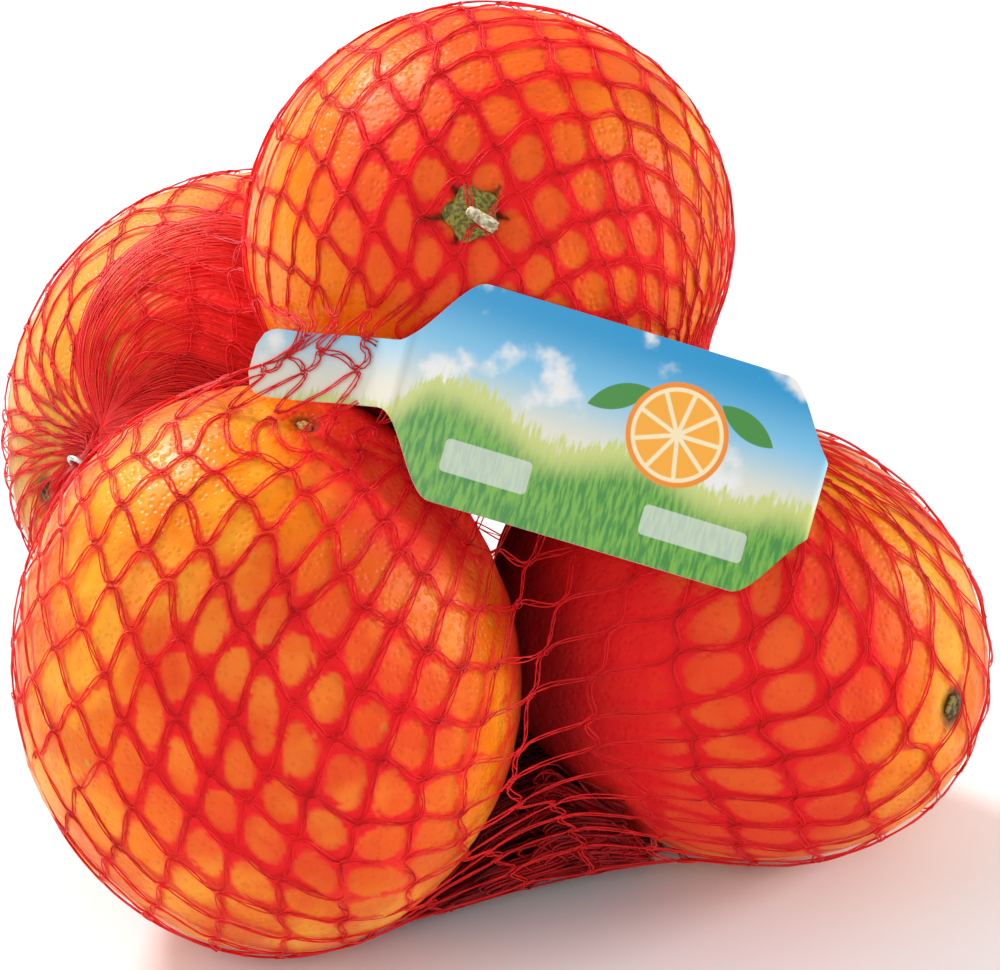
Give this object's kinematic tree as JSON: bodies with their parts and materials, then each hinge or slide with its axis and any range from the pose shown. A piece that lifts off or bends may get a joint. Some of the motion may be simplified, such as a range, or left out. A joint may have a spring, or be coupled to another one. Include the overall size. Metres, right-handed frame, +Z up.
{
  "type": "net of oranges",
  "caption": "Oranges in a red knitted net, heaped with one fruit on top of the others; the net is gathered at each end by a wire clip, and a card label hangs across the front.",
  "frame": {"origin": "middle of the pack's footprint, on the surface that it lies on", "axes": "+Z up; -Y is the front, the side that the label faces; +X is to the right seen from the front"},
  "size_m": [0.1616, 0.1639, 0.1317],
  "materials": {
    "net_bag": "satin red netting over orange peel",
    "clip": "satin drawn wire",
    "label": "printed card with a light gloss"
  },
  "bodies": {
    "root": {"net_bag": "net_bag", "clip_left": "clip", "clip_right": "clip", "label": "label"}
  },
  "joints": []
}
